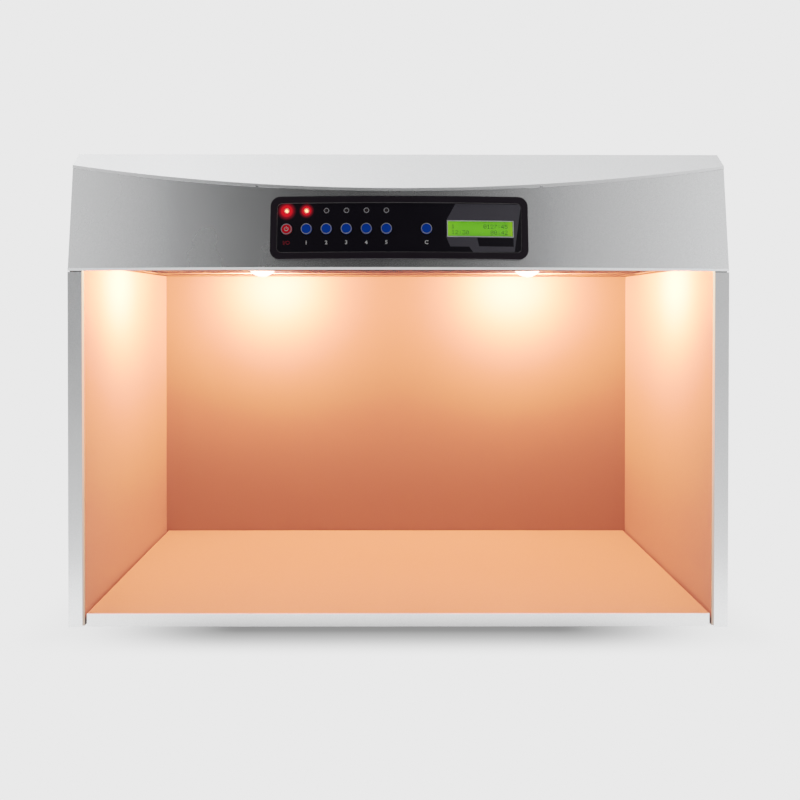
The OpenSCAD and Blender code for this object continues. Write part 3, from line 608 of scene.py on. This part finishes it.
def key_marks():
    for key in KEYS:
        annulus(key + "_ring", *RING_R, *key_place(key), KEY_TOP - RING_DEPTH, KEY_TOP + INK, ring_ink,
                "ring_grey", key)
    power = key_place("power_key")
    annulus("power_mark_arc", *MARK_R, *power, KEY_TOP - SUNK, KEY_TOP + INK, white_ink,
            "white_plastic", "power_key", *MARK_ARC)
    bar = slab(-MARK_BAR_HALF, MARK_BAR[0], MARK_BAR_HALF, MARK_BAR[1])
    outline_on_face("power_mark_bar", bar, *power, KEY_TOP - SUNK, KEY_TOP + INK, white_ink,
                    "white_plastic", body="power_key")
    for key, text in zip(KEYS, LABELS):
        ink = red_ink if key == "power_key" else white_ink
        s, v = key_place(key)
        letters(key + "_label", text, s, v - LABEL_DROP, OVERLAY_OUT - SUNK, OVERLAY_TOP, ink)


key_marks()

# Round bead where the overlay meets the bezel, half sunk
BEAD_R = 0.42 * MM
BEAD_HALF = (127.6 * MM, 26.4 * MM)
BEAD_CORNER = 5.3 * MM
BEAD_CORNER_STEPS = 8
BEAD_STEP = 6 * MM
BEAD_SIDES = 8


def bead_path():
    """Rounded rectangle as points with the outward direction at each."""
    path = []
    for quarter, (sx, sy) in enumerate(((1, 1), (-1, 1), (-1, -1), (1, -1))):
        for i in range(BEAD_CORNER_STEPS + 1):
            turn = math.radians(90 * (quarter + i / BEAD_CORNER_STEPS))
            out = (math.cos(turn), math.sin(turn))
            path.append(((sx * (BEAD_HALF[0] - BEAD_CORNER) + BEAD_CORNER * out[0],
                          sy * (BEAD_HALF[1] - BEAD_CORNER) + BEAD_CORNER * out[1]), out))
    dense = []
    for (a, out_a), (b, out_b) in zip(path, path[1:] + path[:1]):
        steps = max(1, int(math.dist(a, b) / BEAD_STEP))
        for i in range(steps):
            point = Vector(a).lerp(Vector(b), i / steps)
            dense.append((point, out_a if i == 0 else out_b))
    return dense


def overlay_bead():
    bm = bmesh.new()
    rings = []
    for (x, y), out in bead_path():
        ring = []
        for i in range(BEAD_SIDES):
            angle = 2 * math.pi * i / BEAD_SIDES
            reach = BEAD_R * math.cos(angle)
            ring.append(bm.verts.new(face_point(x + reach * out[0], PANEL_V + y + reach * out[1],
                                                OVERLAY_OUT + BEAD_R * math.sin(angle))))
        rings.append(ring)
    for a, b in zip(rings, rings[1:] + rings[:1]):
        for i in range(BEAD_SIDES):
            after = (i + 1) % BEAD_SIDES
            bm.faces.new((a[i], a[after], b[after], b[i]))
    bmesh.ops.recalc_face_normals(bm, faces=bm.faces[:])
    for face in bm.faces:
        face.smooth = True
    new_object("overlay_bead", to_mesh("overlay_bead", bm), bead_gloss, "root")


overlay_bead()

# ---- Display: window frame, slate field round it and dot characters ----

LCD_S = (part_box("lcd_window")[0][0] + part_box("lcd_window")[1][0]) / 2
LCD_V = 43.4 * MM
LCD_HALF = (34 * MM, 7.9 * MM)
WINDOW_EDGE = 0.95 * MM
WINDOW_PROUD = 0.25 * MM
RIM_HALF = (LCD_HALF[0] + WINDOW_EDGE, LCD_HALF[1] + WINDOW_EDGE)


def window_frame():
    (x, y), (rim_x, rim_y) = LCD_HALF, RIM_HALF
    strips = {"top": slab(-rim_x, y, rim_x, rim_y), "foot": slab(-rim_x, -rim_y, rim_x, -y),
              "left": slab(-rim_x, -y, -x, y), "right": slab(x, -y, rim_x, y)}
    for side, points in strips.items():
        outline_on_face("window_frame_" + side, points, LCD_S, LCD_V, OVERLAY_OUT - SUNK,
                        OVERLAY_OUT + WINDOW_PROUD, window_ink, "ring_grey")


window_frame()

# Characters as five by seven dots, top row first
DIGITS = {
    "0": "01110 10001 10011 10101 11001 10001 01110", "1": "00100 01100 00100 00100 00100 00100 01110",
    "2": "01110 10001 00001 00010 00100 01000 11111", "3": "11111 00010 00100 00010 00001 10001 01110",
    "4": "00010 00110 01010 10010 11111 00010 00010", "5": "11111 10000 11110 00001 00001 10001 01110",
    "7": "11111 00001 00010 00100 01000 01000 01000", ":": "00000 00100 00100 00000 00100 00100 00000",
    " ": "00000 00000 00000 00000 00000 00000 00000",
}
LINES = ("1        0127:45", "12:30      00:42")
CHARACTER_DOTS = 6
DOT = 0.62 * MM
DOT_FILL = 0.88
LINE_TOP = 2.6 * MM
LINE_STEP = 6.2 * MM
# The dots stand out of the display's surface, which lies behind the window
DISPLAY_OUT = -1.6 * MM
DOT_OUT = 0.12 * MM
DOT_SUNK = 0.05 * MM


def dot_places():
    """Upper left corner of every dark dot."""
    left = -len(LINES[0]) * CHARACTER_DOTS * DOT / 2
    for row, line in enumerate(LINES):
        top = LCD_HALF[1] - LINE_TOP - row * LINE_STEP
        for column, letter in enumerate(line):
            for r, bits in enumerate(DIGITS[letter].split()):
                for c, bit in enumerate(bits):
                    if bit == "1":
                        yield left + (column * CHARACTER_DOTS + c) * DOT, top - r * DOT


def characters():
    bm = bmesh.new()
    size = DOT * DOT_FILL
    for x, y in dot_places():
        bm.faces.new([bm.verts.new((a, b, 0)) for a, b in slab(x, y - size, x + size, y)])
    raised = extruded(bm)
    place = face_frame(LCD_S, LCD_V)
    for vert in bm.verts:
        depth = DISPLAY_OUT + (DOT_OUT if vert in raised else -DOT_SUNK)
        vert.co = place @ Vector((vert.co.x, vert.co.y, depth))
    bmesh.ops.recalc_face_normals(bm, faces=bm.faces[:])
    mesh = to_mesh("display_characters", bm)
    new_object("display_characters", mesh, segment_ink, "root")


characters()

# Slate field: its left side slants, its right side tapers in towards the bottom
SLATE_FIELD = [(-26 * MM, 26.4 * MM), (43.2 * MM, 26.6 * MM), (35.5 * MM, -24.2 * MM),
               (-7.6 * MM, -25.0 * MM), (-12 * MM, -19 * MM), (-31.6 * MM, -19 * MM),
               (-35.6 * MM, -9.3 * MM), (-35.6 * MM, 8.6 * MM)]
# Plain dark field below the display, with a slanted left side
BADGE = [(-1.6 * MM, -18.6 * MM), (34.6 * MM, -18.6 * MM), (34.6 * MM, -9.4 * MM), (-3.6 * MM, -9.4 * MM)]


def field_strip(name, points, out, ink):
    outline_on_face(name, points, LCD_S, LCD_V, OVERLAY_OUT - SUNK, out, ink, "overlay_black")


def clipped(points, inside):
    """The part of an outline where inside() is positive, cut off along a straight line."""
    result = []
    for a, b in zip(points, points[1:] + points[:1]):
        at_a, at_b = inside(a), inside(b)
        if at_a >= 0:
            result.append(a)
        if (at_a > 0 > at_b) or (at_a < 0 < at_b):
            t = at_a / (at_a - at_b)
            result.append((a[0] + (b[0] - a[0]) * t, a[1] + (b[1] - a[1]) * t))
    return result


def slate_field():
    """The field in three strips round the window's frame, and the badge on the lowest."""
    rim_x, rim_y = RIM_HALF
    top = clipped(SLATE_FIELD, lambda p: p[1] - rim_y)
    foot = clipped(SLATE_FIELD, lambda p: -rim_y - p[1])
    middle = clipped(clipped(SLATE_FIELD, lambda p: rim_y - p[1]), lambda p: p[1] + rim_y)
    right = clipped(middle, lambda p: p[0] - rim_x)
    for side, points in (("top", top), ("foot", foot), ("right", right)):
        field_strip("slate_field_" + side, points, OVERLAY_TOP, slate_ink)
    field_strip("slate_badge", BADGE, OVERLAY_TOP + INK, slots["overlay_black"])


slate_field()

# ---- Lights ----

BULB_POWER = 15.5
BULB_LIGHT_R = 3 * MM
# Each bulb glows from a point low in its glass, towards the back wall and the nearer side
GLOW_SHIFT = (9 * MM, 17 * MM, 3 * MM)

# Small panels of light near the walls, just under the bulbs, tilted down a little
GLOW_SIZE = (70 * MM, 12 * MM)
GLOW_GAP = 65 * MM
GLOW_DROP = 9 * MM
GLOW_TILT = -0.25
BACK_GLOW_POWER = 3.2
WALL_GLOW_POWER = 2.4
WALL_GLOW_FORWARD = 75 * MM

INDICATOR_POWER = 0.0012
INDICATOR_COLOR = (1.0, 0.08, 0.04)
INDICATOR_OUT = 6 * MM
INDICATOR_LIGHT_R = 1.5 * MM


def point_light(name, place, power, color, radius):
    data = bpy.data.lights.new(name, "POINT")
    data.energy = power
    data.color = color
    data.shadow_soft_size = radius
    made = bpy.data.objects.new(name, data)
    made.location = place
    bpy.context.collection.objects.link(made)
    return made


def shaded(*names):
    """Parts of the lamp head that the lights given this collection don't reach."""
    group = bpy.data.collections.new("shaded")
    for name in names:
        group.objects.link(frame["nodes"][name])
    for entry in group.collection_objects:
        entry.light_linking.link_state = "EXCLUDE"
    return group


SLOT_SHADED = shaded("reflector")
HEAD_SHADED = shaded("reflector", "diffusers", "lamp_tray")


def wall_glow(name, place, facing, power):
    """Panel of light that brightens a near wall and isn't seen itself."""
    data = bpy.data.lights.new(name, "AREA")
    data.shape = "RECTANGLE"
    data.size, data.size_y = GLOW_SIZE
    data.energy = power
    data.color = LAMP_COLOR
    made = bpy.data.objects.new(name, data)
    made.location = place
    made.rotation_euler = Vector(facing).to_track_quat("-Z", "Y").to_euler()
    made.visible_camera = False
    made.visible_glossy = False
    made.light_linking.receiver_collection = HEAD_SHADED
    bpy.context.collection.objects.link(made)


def bulb_lights(side, outward):
    """A bulb's own light, and the bright patches it makes on the back and the nearer side."""
    bulb = frame["nodes"][side + "_bulb"]
    low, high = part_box(side + "_bulb")
    middle = (Vector(low) + Vector(high)) / 2
    place = (middle.x + outward * GLOW_SHIFT[0], middle.y + GLOW_SHIFT[1], low[2] + GLOW_SHIFT[2])
    light = point_light(side + "_bulb_light", place, BULB_POWER, LAMP_COLOR, BULB_LIGHT_R)
    light.light_linking.receiver_collection = SLOT_SHADED
    # The glass doesn't shade the light inside it, nor light the slot round it
    bulb.visible_shadow = False
    bulb.visible_diffuse = False
    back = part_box("back_liner")[0][1]
    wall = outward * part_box("right_side_liner")[0][0]
    height = low[2] - GLOW_DROP
    wall_glow(side + "_back_glow", (middle.x, back - GLOW_GAP, height), (0, 1, GLOW_TILT),
              BACK_GLOW_POWER)
    wall_glow(side + "_wall_glow", (wall - outward * GLOW_GAP, middle.y - WALL_GLOW_FORWARD, height),
              (outward, 0, GLOW_TILT), WALL_GLOW_POWER)


bulb_lights("left", -1)
bulb_lights("right", 1)
for key in LIT_KEYS:
    spot = face_point(key_place(key)[0], LED_V, INDICATOR_OUT)
    point_light(key + "_glow", spot, INDICATOR_POWER, INDICATOR_COLOR, INDICATOR_LIGHT_R)


# ---- Studio and floor ----

# Strength of the grey that the camera sees, and the share of the studio that lights matte surfaces
BACKDROP = 1.69
MATTE_SHARE = 0.13
# Brightness of the studio from far left to far right, as (x of the direction, strength)
STUDIO_SIDES = ((-1.0, 1.3), (-0.84, 2.2), (-0.68, 1.5), (-0.54, 0.77), (-0.4, 0.33), (-0.15, 0.045),
                (0.05, 0.03), (0.24, 0.32), (0.5, 1.02), (0.66, 1.75), (0.84, 2.4), (1.0, 1.3))
BRIGHTEST = 2.5
# How bright the left and right sides are at eye level, against higher up
STUDIO_LEVEL = (0.55, 1.0)
STUDIO_TOP = 2.1
STUDIO_FLOOR = 2.9
# Where one part of the studio passes into the next, as x or z of the direction
LEVEL_TURN = (-0.2, 0.2)
LEVEL_RISE = (0.04, 0.24)
TOP_RISE = (0.64, 0.9)
TOP_TURN = (-0.5, 0.1)
TOP_LEFT_GAIN = 1.9
FLOOR_FALL = (-0.1, -0.37)

# The floor is a square that fades out between two distances from its middle
STAGE_HALF = 1.4
STAGE_FADE = (0.45, 0.85)
# Where the shadow is deepest and where it ends, measured out from the footprint's edge
SHADOW_NEAR = (-12 * MM, 72 * MM)
# What is left of the floor's brightness where it is deepest
SHADOW_DARK = 0.17
# Where it fades from the middle towards the ends, and the share of it that is left there
SHADOW_MIDDLE = (170 * MM, 360 * MM)
SHADOW_END_SHARE = 0.12


def studio_world():
    """Soft studio: bright above, beside and below, dim in front and behind, plain grey to the eye."""
    world = bpy.data.worlds.new("studio")
    bpy.context.scene.world = world
    world.use_nodes = True
    net = Network(world.node_tree)
    background = world.node_tree.nodes["Background"]
    axes = net.axes(net.node("TexCoord").outputs["Generated"])
    stops = [((x + 1) / 2, [strength / BRIGHTEST] * 3) for x, strength in STUDIO_SIDES]
    shares = net.ramp(net.math("MULTIPLY_ADD", axes["X"], 0.5, 0.5), stops)
    level = net.smooth(axes["X"], *LEVEL_TURN, *STUDIO_LEVEL)
    raised = net.smooth(axes["Z"], *LEVEL_RISE, 0.0, 1.0)
    sides = net.math("MULTIPLY", shares, BRIGHTEST)
    sides = net.math("MULTIPLY", sides, net.mix(raised, level, 1.0))
    above = net.smooth(axes["Z"], *TOP_RISE, 0.0, STUDIO_TOP)
    left_gain = net.smooth(axes["X"], *TOP_TURN, TOP_LEFT_GAIN, 1.0)
    below = net.smooth(axes["Z"], *FLOOR_FALL, 0.0, STUDIO_FLOOR)
    above = net.math("MULTIPLY", above, left_gain)
    studio = net.math("MAXIMUM", net.math("MAXIMUM", sides, above), below)
    path = net.node("LightPath")
    matte = net.mix(path.outputs["Is Diffuse Ray"], studio, net.math("MULTIPLY", studio, MATTE_SHARE))
    net.feed(net.mix(path.outputs["Is Camera Ray"], matte, BACKDROP), background.inputs["Strength"])
    background.inputs["Color"].default_value = (1, 1, 1, 1)


def contact_shade(net, coords):
    """Soft shadow round the cabinet's footprint, deepest in front of its middle."""
    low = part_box("left_side_shell")[0]
    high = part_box("right_side_shell")[1]
    axes = net.axes(coords)
    gaps = []
    for axis, i in (("X", 0), ("Y", 1)):
        center, half = (low[i] + high[i]) / 2, (high[i] - low[i]) / 2
        away = net.math("ABSOLUTE", net.math("SUBTRACT", axes[axis], center))
        gaps.append(net.math("SUBTRACT", away, half))
    outside = [net.math("MAXIMUM", gap) for gap in gaps]
    reach = net.math("SQRT", net.math("ADD", *[net.math("MULTIPLY", gap, gap) for gap in outside]))
    under = net.math("MINIMUM", net.math("MAXIMUM", *gaps))
    gap = net.math("ADD", reach, under)
    near = net.smooth(gap, *SHADOW_NEAR, SHADOW_DARK, 1.0)
    weight = net.smooth(net.math("ABSOLUTE", axes["X"]), *SHADOW_MIDDLE, 1.0, SHADOW_END_SHARE)
    return net.mix(weight, 1.0, near)


def floor_stage():
    """Pale floor that fades into the background, so that only its soft shadow shows."""
    bm = bmesh.new()
    corners = slab(-STAGE_HALF, -STAGE_HALF, STAGE_HALF, STAGE_HALF)
    bm.faces.new([bm.verts.new((x, y, 0)) for x, y in corners])
    mesh = to_mesh("stage_floor", bm)
    made = bpy.data.objects.new("stage_floor", mesh)
    bpy.context.collection.objects.link(made)
    material = bpy.data.materials.new("stage_floor")
    material.use_nodes = True
    tree = material.node_tree
    tree.nodes.remove(tree.nodes["Principled BSDF"])
    net = Network(tree)
    coords = net.node("TexCoord").outputs["Object"]
    length = net.node("VectorMath", operation="LENGTH")
    net.feed(coords, length.inputs[0])
    fade = net.smooth(length.outputs["Value"], *STAGE_FADE, 0.0, 1.0)
    shade = contact_shade(net, coords)
    path = net.node("LightPath")
    level = net.mix(path.outputs["Is Camera Ray"], STUDIO_FLOOR * MATTE_SHARE, BACKDROP)
    glossy = net.mix(path.outputs["Is Glossy Ray"], level, STUDIO_FLOOR)
    glow = net.node("Emission")
    net.feed(net.math("MULTIPLY", glossy, shade), glow.inputs["Strength"])
    clear = net.node("BsdfTransparent")
    mixed = net.node("MixShader")
    net.feed(fade, mixed.inputs["Fac"])
    net.feed(glow.outputs[0], mixed.inputs[1])
    net.feed(clear.outputs[0], mixed.inputs[2])
    net.feed(mixed.outputs[0], tree.nodes["Material Output"].inputs["Surface"])
    mesh.materials.append(material)


# Film response as (light, shown): straight up to mid grey, then a soft shoulder
FILM_WHITE = 4.0
FILM = ((0.05, 0.05), (0.15, 0.153), (0.3, 0.31), (0.43, 0.43), (0.66, 0.533), (0.95, 0.635),
        (1.3, 0.737), (1.8, 0.831), (2.4, 0.9), (3.2, 0.955))
ALL_CHANNELS = 3


def film_response():
    """The same soft response on every color channel."""
    view = bpy.context.scene.view_settings
    view.view_transform = "Standard"
    view.use_curve_mapping = True
    mapping = view.curve_mapping
    mapping.white_level = (FILM_WHITE, FILM_WHITE, FILM_WHITE)
    for light, shown in FILM:
        mapping.curves[ALL_CHANNELS].points.new(light / FILM_WHITE, shown)
    mapping.update()


make_camera()
studio_world()
floor_stage()
film_response()
